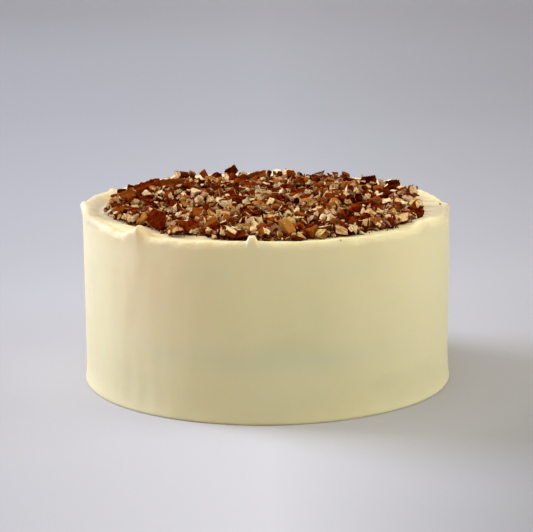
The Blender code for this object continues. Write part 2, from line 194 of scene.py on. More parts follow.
# Where the heap's edge spreads or draws back: turn in degrees, half width in degrees, reach, squareness
OUTLINE_BULGES = ((10.0, 70.0, 0.0045, 4), (-23.0, 6.0, -0.0060, 2))
SEED = 7
PIECES = 175
LONGEST_PIECE = 0.0116
SHORTEST_PIECE = 0.0046
SIZE_FALL = 2.0
THINNEST_PIECE = 0.0020
SPLIT_SHARE = 0.85
CORNER_SHARE = 0.40
STAND_SHARE = 0.30
STAND_LENGTH = 0.0072
TILT = 0.32
CELL = 0.0010
SPOTS = 60
SINK = 0.0008

# Pieces that stand out: the place of the middle, where the cuts start along the kernel and the length kept,
# the part of the width kept from and to, as shares of the width, and the roll, pitch and yaw in degrees
STRIKING_PIECES = (
    (-0.0690, 0.0360, -0.30, 0.0165, -0.50, -0.02, 25, -20, 4),
    (-0.0550, 0.0500, -0.20, 0.0150, -0.50, 0.02, 50, -6, 4),
    (-0.0835, 0.0330, 0.10, 0.0050, -0.50, -0.10, 55, 0, 25),
    (-0.0785, 0.0420, -0.30, 0.0045, -0.50, -0.08, 70, 10, -20),
    (-0.0790, 0.0120, -0.10, 0.0085, -0.50, -0.05, 35, -28, 8),
    (-0.0760, -0.0300, 0.20, 0.0055, -0.45, 0.00, 50, 0, 10),
    (-0.0700, -0.0420, -0.40, 0.0095, -0.50, -0.10, 40, -8, 12),
    (-0.0592, -0.0664, 0.08, 0.0098, -0.42, 0.34, 86, -66, -12),
    (-0.0478, -0.0768, 0.18, 0.0070, -0.30, 0.30, 10, -22, -78),
    (0.0107, -0.0842, -0.46, 0.0105, -0.10, 0.40, 20, 48, -58),
    (-0.0510, 0.0690, -0.10, 0.0080, -0.45, 0.18, 78, 12, 48),
    (-0.0210, 0.0760, 0.10, 0.0078, -0.50, 0.04, 72, -30, 10),
    (-0.0060, 0.0730, -0.40, 0.0135, -0.50, -0.06, 48, -16, 0),
    (0.0132, 0.0740, -0.10, 0.0068, -0.32, 0.30, 84, 6, 22),
    (0.0740, 0.0420, -0.20, 0.0085, -0.48, 0.02, 62, -8, -6),
    (0.0790, 0.0200, 0.10, 0.0060, -0.25, 0.22, 10, -18, -80),
    (0.0835, 0.0150, -0.20, 0.0050, -0.20, 0.20, 20, -16, -86),
    (0.0610, 0.0580, -0.10, 0.0085, -0.50, -0.04, 60, -6, -8),
    (0.0845, -0.0240, 0.05, 0.0052, -0.24, 0.20, 16, -36, -66),
)

# What is strewn over the CAD's pieces: how many, longest and shortest
CHIPS = (150, 0.0066, 0.0050)
BITS = (600, 0.0050, 0.0022)
CRUMBS = (700, 0.0024, 0.0010)
LIGHT_SINK = 0.0003
FLESH_CRUMBS = 0.55
THINNEST_BIT = 0.0009
BIT_SPOTS = 24
# How many of the largest pieces are a mesh of their own
LARGEST = 90

# A crumb's half lengths as shares of its size, its cuts and how deep they go, and how quickly the sizes fall
CRUMB_SHAPE = ((0.35, 0.60), (0.25, 0.50), (0.15, 0.40))
CRUMB_CUTS = 4
CRUMB_CUT_PLACES = (0.08, 0.20)
CRUMB_FALL = 2.2

# Two crumbs that fell on the rim: the place and the size
STRAY_CRUMBS = ((0.0972, -0.0048, 0.0985, 0.0019), (0.0385, -0.0945, 0.0970, 0.0017))
STRAY_TONE = 0.20

# The pieces' looks: how round the broken edges are, how soon skin turns to flesh, the lengths of the breaks'
# roughness, how far apart the pieces' patterns are, the lowest that a point lies, the share of broken sides
# that are folds with skin, and the skins' tones of the striking pieces, dark to light
EDGE_SOFTNESS = 0.00014
FLESH_BORDER = 0.0012
BREAK_LENGTHS = (0.0030, 0.0013)
PIECE_OFFSET = 0.37
PIECE_FLOOR = TOP_HEIGHT - 0.0008
SKIN_SIDES = 0.30
STRIKING_TINTS = (
    0.46, 0.74, 0.15, 0.20, 0.75, 0.25, 0.80, 0.48, 0.72, 1.00,
    0.22, 0.12, 0.72, 0.62, 0.20, 0.55, 0.50, 0.15, 0.60,
)

# The crumbly bed: its mesh, how far inside the core's edge it ends, its crumbs and how they fade there
BED_RINGS = 90
BED_STEPS = 420
BED_INSET = 0.0004
BED_CRUMB = 0.0040
BED_CRUMBLE = 0.0007
BED_SINK = 0.0002
BED_EDGE_FADE = 12

# The backdrop: the floor's rings, the bend up into the wall, and the wall's top
FLOOR_RINGS = (0.0, 0.3, 0.8, 1.4, 2.0)
BEND_RADIUS = 0.9
BEND_POINTS = 15
WALL_TOP = 2.4
BACKDROP_STEPS = 96

# Where the lights point
LIGHTS_AIM = (0.0, 0.0, 0.06)

# A chopped piece: its cuts, its heart and its middle in the kernel, how it is turned and where it lies
Piece = namedtuple("Piece", "cuts heart middle turn place")


def smooth_step(value, low, high):
    share = np.clip((value - low) / (high - low), 0.0, 1.0)
    return share * share * (3.0 - 2.0 * share)


def waves(turn, table):
    return sum(size * np.sin(cycles * turn + phase) for cycles, size, phase in table)


def turn_of(x, y):
    return np.arctan2(x, -y)


def away_from(turn, degrees):
    """The shorter way round from a place on the rim to this turn."""
    return (turn - math.radians(degrees) + math.pi) % math.tau - math.pi


def ripples(points, size, seed, count=28, stretch=(1.0, 1.0, 1.0)):
    """Smooth noise of about unit strength: plane waves of about this length in random directions."""
    rng = np.random.default_rng(seed)
    ways = rng.normal(size=(count, 3))
    ways /= np.linalg.norm(ways, axis=1)[:, None]
    ways *= math.tau / (size * rng.uniform(0.7, 1.6, size=(count, 1)))
    ways /= np.array(stretch)
    phases = rng.uniform(0.0, math.tau, count)
    return np.sin(points @ ways.T + phases).sum(axis=-1) * math.sqrt(2.0 / count)


def relief(points, table):
    """The sum of several smooth noises at the points."""
    return sum(height * ripples(points, length, seed, stretch=how) for height, length, seed, how in table)


def ring_faces(rings, steps):
    """The numbers of a round grid's points, the numbers of the next points along, and the faces between."""
    grid = np.arange(rings * steps).reshape(rings, steps)
    along = np.roll(grid, -1, axis=1)
    quads = np.stack([grid[:-1], grid[1:], along[1:], along[:-1]], axis=-1).reshape(-1, 4)
    return grid, along, quads


def linked(name, data):
    """A new object of this mesh, light or camera, in the scene."""
    obj = bpy.data.objects.new(name, data)
    bpy.context.scene.collection.objects.link(obj)
    return obj


def closed_object(name, points, faces):
    """A smooth closed surface from its points and faces of any number of corners."""
    bm = bmesh.new()
    corners = [bm.verts.new(point) for point in points]
    for face in faces:
        bm.faces.new([corners[i] for i in face])
    bmesh.ops.recalc_face_normals(bm, faces=bm.faces)
    mesh = bpy.data.meshes.new(name)
    bm.to_mesh(mesh)
    bm.free()
    mesh.shade_smooth()
    return linked(name, mesh)


def mesh_object(name, points, faces, sharp_angle):
    """A mesh object from an array of points and an array of faces that all have as many corners."""
    mesh = bpy.data.meshes.new(name)
    sides = faces.shape[1]
    mesh.vertices.add(len(points))
    mesh.vertices.foreach_set("co", np.asarray(points, np.float32).ravel())
    mesh.loops.add(faces.size)
    mesh.loops.foreach_set("vertex_index", np.asarray(faces, np.int32).ravel())
    mesh.polygons.add(len(faces))
    mesh.polygons.foreach_set("loop_start", np.arange(len(faces), dtype=np.int32) * sides)
    mesh.update(calc_edges=True)
    mesh.validate()
    mesh.shade_smooth()
    mesh.set_sharp_from_angle(angle=math.radians(sharp_angle))
    return linked(name, mesh)


def kernel_places(obj, places):
    """Stores for each point where it was in the kernel, for a material to read."""
    layer = obj.data.attributes.new("kernel", "FLOAT_VECTOR", "POINT")
    layer.data.foreach_set("vector", np.asarray(places, np.float32).ravel())


def numbers(obj, name, values):
    """Stores one number for each point, for a material to read."""
    layer = obj.data.attributes.new(name, "FLOAT", "POINT")
    layer.data.foreach_set("value", np.asarray(values, np.float32))


# Materials


class Shader:
    """A short way to write a node material."""

    def __init__(self, name):
        self.material = bpy.data.materials.new(name)
        self.material.use_nodes = True
        self.tree = self.material.node_tree
        self.surface = self.tree.nodes["Principled BSDF"]

    def node(self, kind, **settings):
        made = self.tree.nodes.new(kind)
        for name, value in settings.items():
            setattr(made, name, value)
        return made

    def link(self, source, target):
        self.tree.links.new(source, target)

    def coordinates(self):
        return self.node("ShaderNodeTexCoord").outputs["Object"]

    def scaled(self, where, scale):
        mapping = self.node("ShaderNodeMapping")
        mapping.inputs["Scale"].default_value = scale
        self.link(where, mapping.inputs["Vector"])
        return mapping.outputs["Vector"]

    def stretched(self, scale):
        return self.scaled(self.coordinates(), scale)

    def parts(self):
        """X, Y and Z apart."""
        made = self.node("ShaderNodeSeparateXYZ")
        self.link(self.coordinates(), made.inputs["Vector"])
        return made.outputs

    def noise(self, scale, detail=4.0, where=None):
        made = self.node("ShaderNodeTexNoise")
        made.inputs["Scale"].default_value = scale
        made.inputs["Detail"].default_value = detail
        made.inputs["Roughness"].default_value = 0.55
        self.link(where or self.coordinates(), made.inputs["Vector"])
        return made.outputs["Fac"]

    def attribute(self, name):
        return self.node("ShaderNodeAttribute", attribute_name=name).outputs["Fac"]

    def kernel_coordinates(self, scale):
        """Places in the kernel that a piece was cut from, so that marks run along it."""
        place = self.node("ShaderNodeAttribute", attribute_name="kernel")
        return self.scaled(place.outputs["Vector"], scale)

    def far_from(self, place, reach):
        """How far from a place, as a share of the reach along each axis."""
        where = self.coordinates()
        for operation, vector in (("SUBTRACT", place), ("DIVIDE", reach)):
            made = self.node("ShaderNodeVectorMath", operation=operation)
            made.inputs[1].default_value = vector
            self.link(where, made.inputs[0])
            where = made.outputs["Vector"]
        far = self.node("ShaderNodeVectorMath", operation="LENGTH")
        self.link(where, far.inputs[0])
        return far.outputs["Value"]

    def math(self, operation, *values):
        made = self.node("ShaderNodeMath", operation=operation)
        for place, value in enumerate(values):
            if isinstance(value, float):
                made.inputs[place].default_value = value
            else:
                self.link(value, made.inputs[place])
        return made.outputs[0]

    def ramp(self, value, stops):
        made = self.node("ShaderNodeValToRGB")
        elements = made.color_ramp.elements
        while len(elements) < len(stops):
            elements.new(0.5)
        for element, (place, colour) in zip(elements, stops):
            element.position = place
            element.color = (*colour, 1.0)
        self.link(value, made.inputs["Fac"])
        return made.outputs["Color"]

    def mix(self, share, first, second, blend="MIX"):
        made = self.node("ShaderNodeMix", data_type="RGBA", blend_type=blend)
        if isinstance(share, float):
            made.inputs[0].default_value = share
        else:
            self.link(share, made.inputs[0])
        for place, value in ((6, first), (7, second)):
            if isinstance(value, tuple):
                made.inputs[place].default_value = (*value, 1.0)
            else:
                self.link(value, made.inputs[place])
        return made.outputs[2]

    def range(self, value, low, high, to_low, to_high):
        made = self.node("ShaderNodeMapRange")
        limits = {"From Min": low, "From Max": high, "To Min": to_low, "To Max": to_high}
        for name, number in limits.items():
            made.inputs[name].default_value = number
        self.link(value, made.inputs["Value"])
        return made.outputs["Result"]

    def bump(self, height, strength, distance, normal=None):
        made = self.node("ShaderNodeBump")
        made.inputs["Strength"].default_value = strength
        made.inputs["Distance"].default_value = distance
        self.link(height, made.inputs["Height"])
        if normal is not None:
            self.link(normal, made.inputs["Normal"])
        return made.outputs["Normal"]

    def set(self, **values):
        for name, value in values.items():
            self.surface.inputs[name.replace("_", " ")].default_value = value


def icing_material():
    m = Shader("ivory_icing")
    cream = (0.885, 0.752, 0.420)
    pale = (0.900, 0.782, 0.470)
    thin = (0.800, 0.718, 0.415)
    clouds = m.noise(9.0, detail=3.0)
    colour = m.ramp(clouds, ((0.35, cream), (0.65, pale)))
    bands = m.noise(16.0, detail=2.0, where=m.stretched((1.0, 1.0, 2.2)))
    colour = m.mix(m.range(bands, 0.56, 0.72, 0.0, 0.55), colour, thin)
    # Painted shade: the icing turns darker and a little bluer towards the base, standing in for less light
    # low on the wall
    painted_low_shade = m.range(m.parts()["Z"], 0.015, 0.085, 0.5, 0.0)
    colour = m.mix(painted_low_shade, colour, (0.770, 0.800, 0.830), "MULTIPLY")
    # The first five patches paint shade, and the rest tint the icing
    for place, reach, tone in ICING_TINTS_AND_PAINTED_SHADE:
        share = m.range(m.far_from(place, reach), 0.2, 1.0, 1.0, 0.0)
        colour = m.mix(share, colour, m.mix(1.0, colour, tone, "MULTIPLY"))
    m.link(colour, m.surface.inputs["Base Color"])
    m.link(m.range(m.noise(60.0), 0.3, 0.7, 0.50, 0.62), m.surface.inputs["Roughness"])
    smears = m.noise(70.0, detail=5.0, where=m.stretched((1.0, 1.0, 0.25)))
    pits = m.bump(m.noise(900.0, detail=2.0), 0.12, 0.0002, m.bump(smears, 0.25, 0.0006))
    m.link(pits, m.surface.inputs["Normal"])
    m.set(Subsurface_Weight=0.35, Subsurface_Scale=0.004, IOR=1.45, Specular_IOR_Level=0.45)
    m.set(Subsurface_Radius=(1.0, 0.62, 0.30))
    return m.material


def pecan_material():
    """Skin or cut flesh by the flesh number: tint gives the skin's brown, and pale the flesh's. Painted shade
    darkens the gaps between pieces.
    """
    m = Shader("chopped_pecan")
    skins = (
        (0.00, (0.035, 0.000, 0.000)),
        (0.30, (0.075, 0.001, 0.000)),
        (0.55, (0.170, 0.013, 0.001)),
        (0.80, (0.330, 0.085, 0.012)),
        (1.00, (0.520, 0.210, 0.040)),
    )
    cuts = (
        (0.00, (0.300, 0.075, 0.010)),
        (0.15, (0.480, 0.200, 0.050)),
        (0.30, (0.760, 0.450, 0.175)),
        (0.55, (0.920, 0.645, 0.320)),
        (1.00, (1.000, 0.805, 0.490)),
    )
    grain = m.noise(900.0, detail=4.0)
    ragged = m.math("MULTIPLY_ADD", m.noise(520.0), 0.30, -0.15)
    flesh = m.range(m.math("ADD", m.attribute("flesh"), ragged), 0.47, 0.55, 0.0, 1.0)
    streaks = m.noise(1.0, detail=3.0, where=m.kernel_coordinates((260.0, 480.0, 480.0)))
    mottle = m.ramp(streaks, ((0.40, (0.020, 0.000, 0.000)), (0.66, (0.460, 0.100, 0.010))))
    skin = m.mix(0.26, m.ramp(m.attribute("tint"), skins), mottle)
    specks = m.range(m.noise(700.0, detail=3.0), 0.60, 0.72, 0.0, 0.35)
    skin = m.mix(specks, skin, (0.420, 0.130, 0.025))
    fibres = m.noise(1.0, detail=4.0, where=m.kernel_coordinates((260.0, 800.0, 800.0)))
    pith = m.ramp(fibres, ((0.40, (0.260, 0.055, 0.007)), (0.52, (0.950, 0.720, 0.400))))
    cut = m.mix(0.50, m.ramp(m.attribute("pale"), cuts), pith)
    golden = m.range(m.attribute("tint"), 0.80, 0.88, 0.0, 0.8)
    cut = m.mix(golden, cut, m.mix(1.0, cut, (0.820, 0.800, 0.480), "MULTIPLY"))
    bordered = m.range(m.attribute("flesh"), 0.52, 0.80, 0.75, 0.0)
    cut = m.mix(bordered, cut, (0.340, 0.110, 0.018))
    colour = m.mix(flesh, skin, cut)
    # Painted shade: where the pieces crowd each other, the colour turns darker and a deeper red brown,
    # standing in for the shade in the gaps
    occlusion_for_painted_shade = m.node("ShaderNodeAmbientOcclusion", samples=8)
    occlusion_for_painted_shade.inputs["Distance"].default_value = 0.0045
    deep = m.range(occlusion_for_painted_shade.outputs["AO"], 0.25, 0.92, 1.0, 0.0)
    colour = m.mix(deep, colour, m.mix(1.0, colour, (0.200, 0.045, 0.020), "MULTIPLY"))
    m.link(colour, m.surface.inputs["Base Color"])
    m.link(m.range(flesh, 0.0, 1.0, 0.45, 0.80), m.surface.inputs["Roughness"])
    m.link(m.bump(m.math("ADD", grain, streaks), 0.75, 0.0004), m.surface.inputs["Normal"])
    m.set(Specular_IOR_Level=0.0)
    return m.material


def bed_material():
    m = Shader("pecan_bed")
    browns = (
        (0.35, (0.035, 0.002, 0.000)),
        (0.50, (0.130, 0.020, 0.004)),
        (0.60, (0.400, 0.170, 0.060)),
        (0.72, (0.800, 0.560, 0.300)),
    )
    m.link(m.ramp(m.noise(420.0, detail=4.0), browns), m.surface.inputs["Base Color"])
    m.link(m.bump(m.noise(600.0), 0.6, 0.0008), m.surface.inputs["Normal"])
    m.set(Roughness=0.8, Specular_IOR_Level=0.02)
    return m.material


def backdrop_material():
    """Pale paper with painted light and shade: its grey changes with distance as the lamps' light would, it
    darkens towards both sides, and most of all in front on the right, where a shadow is painted.
    """
    m = Shader("backdrop_paper")
    place = m.parts()
    back = m.range(place["Y"], -0.25, 2.0, 0.0, 1.0)
    # Painted light and shade: how grey the paper is with distance, in place of the lamps' falloff
    painted_light_falloff = (
        (0.00, 0.570), (0.11, 0.570), (0.20, 0.540), (0.27, 0.495), (0.40, 0.460),
        (0.55, 0.450), (0.65, 0.475), (0.78, 0.530), (1.00, 0.610),
    )
    shade = m.ramp(back, [(where, (value, 0.965 * value, 1.015 * value)) for where, value in painted_light_falloff])
    from_front = m.math("MAXIMUM", m.math("ADD", place["Y"], 1.3), 1.0)
    aside = m.math("DIVIDE", place["X"], from_front)
    # Painted shade towards each side, darkest at the front right, where a shadow is painted
    sides = (
        (-0.13, ((0.00, 0.80), (0.25, 0.80), (1.00, 0.84))),
        (0.13, ((0.00, 0.55), (0.12, 0.72), (0.22, 0.84), (0.50, 0.88), (1.00, 0.86))),
    )
    for edge, painted_side_shade in sides:
        side = m.ramp(back, [(where, (value, value, value)) for where, value in painted_side_shade])
        share = m.range(aside, 0.0, edge, 0.0, 1.0)
        shade = m.mix(1.0, shade, m.mix(share, (1.0, 1.0, 1.0), side), "MULTIPLY")
    m.link(shade, m.surface.inputs["Base Color"])
    m.set(Roughness=0.9, Specular_IOR_Level=0.2)
    return m.material


# Icing


def arc_points(corners, spacing):
    """A smooth line through the corners, with a point about every so far."""
    corners = np.array(corners)
    ends = np.vstack([2 * corners[0] - corners[1], corners, 2 * corners[-1] - corners[-2]])
    line = []
    for a, b, c, d in zip(ends, ends[1:], ends[2:], ends[3:]):
        count = max(1, round(float(np.linalg.norm(c - b)) / spacing))
        for t in np.arange(count) / count:
            line.append(0.5 * (2 * b + (c - a) * t + (2 * a - 5 * b + 4 * c - d) * t**2
                               + (3 * b - a - 3 * c + d) * t**3))
    line.append(corners[-1])
    return line


def icing_profile():
    """Half section of the iced cake, from near the centre of the top, over the rim and down to the base."""
    rise = CREST_HEIGHT - TOP_HEIGHT
    under = [(radius, TOP_HEIGHT) for radius in np.linspace(0.0, UNDER_NUTS, UNDER_RINGS + 2)[1:-1]]
    shelf = [(radius, TOP_HEIGHT) for radius in np.arange(UNDER_NUTS, TOP_RADIUS, TOP_SPACING)]
    edge = [
        (CAKE_RADIUS - EDGE_WIDE * (1 - math.sin(a)), CREST_HEIGHT - EDGE_TALL * (1 - math.cos(a)))
        for a in np.linspace(0.0, math.pi / 2, EDGE_POINTS)
    ]
    rim = arc_points(
        (
            (TOP_RADIUS, TOP_HEIGHT),
            (TOP_RADIUS + 0.4 * (CREST_RADIUS - TOP_RADIUS), TOP_HEIGHT + 0.3 * rise),
            (CREST_RADIUS - CREST_WIDTH / 2, CREST_HEIGHT - 0.2 * rise),
            (CREST_RADIUS, CREST_HEIGHT),
            *edge,
            (CAKE_RADIUS, CREST_HEIGHT - 1.5 * EDGE_TALL),
        ),
        RIM_SPACING,
    )
    wall = [(CAKE_RADIUS, z) for z in np.arange(rim[-1][1] - WALL_SPACING, 2 * FOOT_HEIGHT, -WALL_SPACING)]
    foot = [(FOOT_RADIUS + out, z) for out, z in FOOT_LINE]
    return np.array([tuple(point) for point in [*under, *shelf, *rim, *wall, *foot, (BASE_RING, 0.0)]])


def peaks_at(turn):
    """How far the peaks raise the rim and lean it outwards at each turn."""
    rise, lean = np.zeros_like(turn), np.zeros_like(turn)
    for degrees, height, half_width, outwards, squareness in RIM_PEAKS:
        away = np.abs(away_from(turn, degrees)) / math.radians(half_width)
        share = np.exp(-(away**squareness))
        rise += height * share
        lean += outwards * share
    return rise, lean


def hollow(radius, turn):
    """How deep the knife left the top inside the rim on the left."""
    along = np.exp(-((away_from(turn, HOLLOW_TURN) / math.radians(HOLLOW_SPREAD)) ** 2))
    return HOLLOW_DEPTH * along * np.exp(-(((radius - HOLLOW_RADIUS) / HOLLOW_WIDTH) ** 2))


def filled(radius, turn):
    """How far the icing fills the top, level with the rim."""
    along = sum(
        rise * np.exp(-((away_from(turn, degrees) / math.radians(half_width)) ** 2))
        for degrees, half_width, rise in FILLED
    )
    inner = smooth_step(radius, FILLED_FROM, FILLED_FROM + FILLED_FADE_IN)
    outer = 1 - smooth_step(radius, FILLED_TO - FILLED_FADE_OUT, FILLED_TO)
    return along * inner * outer


def ridge(height, turn):
    """How far the ridge below the peak stands out of the wall."""
    along = np.exp(-((away_from(turn, RIDGE_TURN) / math.radians(RIDGE_WIDTH)) ** 2))
    return RIDGE_RISE * along * smooth_step(height, RIDGE_FOOT, CREST_HEIGHT - EDGE_TALL)


def swirl_marks(spots):
    """Curved marks of the knife's tip round one place on the left of the top."""
    far = np.hypot(spots[..., 0] - SWIRL_PLACE[0], spots[..., 1] - SWIRL_PLACE[1])
    return SWIRL_DEPTH * np.sin(math.tau * far / SWIRL_SPACING) * np.exp(-((far / SWIRL_REACH) ** 2))


def icing_points():
    """The icing's surface as rings of points, from near the centre of the top round to the base."""
    profile = icing_profile()
    radius, height = profile[:, 0][:, None], profile[:, 1][:, None]
    turn = np.linspace(-math.pi, math.pi, ICING_STEPS, endpoint=False)[None, :]
    flat = np.stack([radius * np.sin(turn), -radius * np.cos(turn), height + 0 * turn], axis=-1)
    inner = smooth_step(radius, TOP_RADIUS, CREST_RADIUS - CREST_WIDTH / 2)
    outer = smooth_step(height, CREST_HEIGHT - RIM_REACH, CREST_HEIGHT - EDGE_TALL / 3)
    share = inner * outer**2
    rise, lean = peaks_at(turn)
    wall = smooth_step(radius, CREST_RADIUS, CAKE_RADIUS - EDGE_WIDE / 2) * (height > 0.0)
    body = smooth_step(height, 0.0, SMEAR_FADE)
    smear = relief(flat, SMEARS) - SMEAR_SETBACK
    ragged = relief(flat, RAGGED_EDGE)
    outwards = share * lean + wall * waves(turn + WALL_TWIST * height, WALL_WAVES) + wall * body * smear
    outwards = outwards + wall * ridge(height, turn) + 0.5 * share * ragged
    shelf = smooth_step(radius, UNDER_NUTS, UNDER_NUTS + SHELF_FADE) * (1 - inner) * (height > TOP_SIDE)
    strokes = relief(flat, SHELF_STROKES) * shelf + swirl_marks(flat) * shelf
    level = (filled(radius, turn) - hollow(radius, turn)) * (height > TOP_SIDE)
    upwards = share * (rise + waves(turn, RIM_WAVES) + ragged) + strokes + level
    scale = (radius + outwards) / radius
    return np.stack([flat[..., 0] * scale, flat[..., 1] * scale, height + upwards], axis=-1)


def iced_cake(finish):
    points = icing_points()
    rings, steps = points.shape[:2]
    grid, along, quads = ring_faces(rings, steps)
    top, base = rings * steps, rings * steps + 1
    fans = []
    for i in range(steps):
        fans.append((top, grid[0, i], along[0, i]))
        fans.append((base, along[-1, i], grid[-1, i]))
    points = np.vstack([points.reshape(-1, 3), (0, 0, TOP_HEIGHT), (0, 0, 0)])
    obj = closed_object("icing", points, [*quads, *fans])
    obj.data.materials.append(finish)
    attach(obj, "root")
    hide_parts("iced_cake")


# Chopped pecans: the cuts and the falling are the CAD's own


def kernel_half():
    """Half a kernel: an egg with a grooved back and a flatter face."""
    bm = bmesh.new()
    bmesh.ops.create_uvsphere(bm, u_segments=KERNEL_SIDES, v_segments=KERNEL_RINGS, radius=1.0)
    bmesh.ops.rotate(bm, verts=bm.verts, matrix=Matrix.Rotation(math.pi / 2, 3, "Y"))
    for vertex in bm.verts:
        x, y, z = vertex.co
        across = y * (1.0 - KERNEL_TAPER * x)
        up = z * (KERNEL_BACK if z > 0.0 else KERNEL_FACE)
        if z > 0.0:
            groove = math.exp(-(((abs(y) - GROOVE_PLACE) / GROOVE_WIDTH) ** 2))
            up -= GROOVE_DEPTH * groove * (1.0 - x * x)
        vertex.co = (x * KERNEL_LENGTH / 2, across * KERNEL_WIDTH / 2, up)
    return bm


def tilted(rng, normal, most):
    """The direction turned a little at random, as a knife's blade is never quite square."""
    turn = Euler([rng.uniform(-most, most) for _ in range(3)])
    return turn.to_matrix() @ Vector(normal)


def knife_cuts(rng, length):
    """The planes that chop a piece this long from half a kernel, each a point and the side that goes."""
    start = rng.uniform(-KERNEL_ENDS, KERNEL_ENDS - length / KERNEL_LENGTH) * KERNEL_LENGTH
    cuts = [
        (Vector((start, 0.0, 0.0)), tilted(rng, (-1.0, 0.0, 0.0), END_TILT)),
        (Vector((start + length, 0.0, 0.0)), tilted(rng, (1.0, 0.0, 0.0), END_TILT)),
    ]
    side = rng.choice((-1.0, 1.0))
    if rng.random() < SPLIT_SHARE:
        place = Vector((start, side * rng.uniform(*SPLIT_PLACES) * KERNEL_WIDTH, 0.0))
        cuts.append((place, tilted(rng, (0.0, side, 0.0), SPLIT_TILT)))
    if rng.random() < CORNER_SHARE:
        place = Vector((start + length / 2, -side * CORNER_PLACE * KERNEL_WIDTH, KERNEL_BACK * CORNER_LEVEL))
        cuts.append((place, tilted(rng, (0.3, -side, rng.uniform(-1.0, 1.0)), CORNER_TILT).normalized()))
    return cuts


def bit_cuts(rng, length):
    """As knife_cuts, with two more cuts that leave a bit about as wide as it is long."""
    cuts = knife_cuts(rng, length)
    middle = (cuts[0][0].x + cuts[1][0].x) / 2
    y = rng.uniform(-BIT_PLACES, BIT_PLACES) * KERNEL_WIDTH
    half = length * rng.uniform(*BIT_WIDTHS)
    for side in (-1.0, 1.0):
        cuts.append((Vector((middle, y + side * half, 0.0)), tilted(rng, (0.0, side, 0.0), BIT_TILT)))
    if rng.random() < BIT_FLAT_SHARE:
        level = rng.uniform(*BIT_LEVELS) * KERNEL_BACK
        cuts.append((Vector((middle, y, level)), tilted(rng, (0.0, 0.0, -1.0), BIT_FLAT_TILT)))
    return cuts


def chop(bm, cuts):
    for point, normal in cuts:
        everything = bm.verts[:] + bm.edges[:] + bm.faces[:]
        bmesh.ops.bisect_plane(
            bm, geom=everything, dist=1e-6, plane_co=point, plane_no=normal, clear_outer=True
        )
        bmesh.ops.holes_fill(bm, edges=bm.edges, sides=0)
    bmesh.ops.triangulate(bm, faces=bm.faces)
    return bm


def corners_of(bm):
    """The mesh as an array of points and an array of triangles."""
    bm.verts.index_update()
    points = np.array([vertex.co[:] for vertex in bm.verts])
    triangles = np.array([[vertex.index for vertex in face.verts] for face in bm.faces])
    return points, triangles


def lying(rng, size):
    """A turn for a piece that has dropped: its thinnest way up, or its next thinnest, either face up."""
    thin, middle, _ = sorted(range(3), key=lambda axis: size[axis])
    up = middle if rng.random() < STAND_SHARE and max(size) < STAND_LENGTH else thin
    flip = Euler(((0.0, math.pi / 2, 0.0), (math.pi / 2, 0.0, 0.0), (0.0, 0.0, 0.0))[up]).to_matrix()
    over = Matrix.Rotation(rng.choice((0.0, math.pi)), 3, "X")
    steep = TILT * min(1.0, STAND_LENGTH / max(size))
    tilt = Euler((rng.gauss(0.0, steep), rng.gauss(0.0, steep), rng.uniform(0.0, math.tau))).to_matrix()
    return tilt @ over @ flip


def cell_range(values):
    return math.floor(values.min() / CELL), math.ceil(values.max() / CELL)


def under_and_over(points, triangles):
    """The piece's lower and upper heights on a grid of cells, infinite where empty, and its first cell."""
    (x0, x1), (y0, y1) = cell_range(points[:, 0]), cell_range(points[:, 1])
    under = np.full((x1 - x0 + 1, y1 - y0 + 1), np.inf)
    over = np.full_like(under, -np.inf)
    for a, b, c in points[triangles]:
        (i0, i1), (j0, j1) = (cell_range(np.array([a[k], b[k], c[k]])) for k in (0, 1))
        px, py = np.meshgrid(np.arange(i0, i1 + 1) * CELL, np.arange(j0, j1 + 1) * CELL, indexing="ij")
        area = (b[0] - a[0]) * (c[1] - a[1]) - (c[0] - a[0]) * (b[1] - a[1])
        if abs(area) < 1e-10:
            continue
        v = ((px - a[0]) * (c[1] - a[1]) - (c[0] - a[0]) * (py - a[1])) / area
        w = ((b[0] - a[0]) * (py - a[1]) - (px - a[0]) * (b[1] - a[1])) / area
        inside = (v >= -0.1) & (w >= -0.1) & (v + w <= 1.1)
        height = a[2] + v * (b[2] - a[2]) + w * (c[2] - a[2])
        window = (slice(i0 - x0, i1 - x0 + 1), slice(j0 - y0, j1 - y0 + 1))
        under[window] = np.where(inside, np.minimum(under[window], height), under[window])
        over[window] = np.where(inside, np.maximum(over[window], height), over[window])
    return under, over, (x0, y0)


def outline(turn):
    """How far the heap's edge is from its mean radius at a turn."""
    reach = waves(turn, OUTLINE_WAVES)
    for degrees, half_width, more, squareness in OUTLINE_BULGES:
        away = np.abs(away_from(turn, degrees)) / math.radians(half_width)
        reach = reach + more * np.exp(-(away**squareness))
    return reach


def core_edge(turn):
    return np.minimum(CORE_RADIUS + outline(turn), CORE_LIMIT)


def core_height(x, y):
    """Height of the bed's top above the base: a low, lumpy layer that thins out at its uneven edge."""
    share = np.sqrt(np.clip((core_edge(turn_of(x, y)) - np.hypot(x, y)) / CORE_EDGE, 0.0, 1.0))
    lumps = np.sin(x / 0.0047 + 1.7) * np.sin(y / 0.0053) + np.sin((x + y) / 0.0081)
    return TOP_HEIGHT + GAP + share * (CORE_DEPTH + CORE_LUMP * lumps)


def ground(x, y):
    """The lowest that a piece lies: flat over the top, and up the inner side of the rim."""
    climb = RIM_CLIMB * np.maximum(np.hypot(x, y) - CORE_LIMIT, 0.0)
    return TOP_HEIGHT + GAP + CORE_CLEAR + climb


def empty_heap():
    """The heights that the first pieces drop on, on a square grid round the axis."""
    half = math.ceil(CAKE_RADIUS / CELL)
    ticks = np.arange(-half, half + 1) * CELL
    x, y = ticks[:, None], ticks[None, :]
    return np.maximum(core_height(x, y), ground(x, y)), half


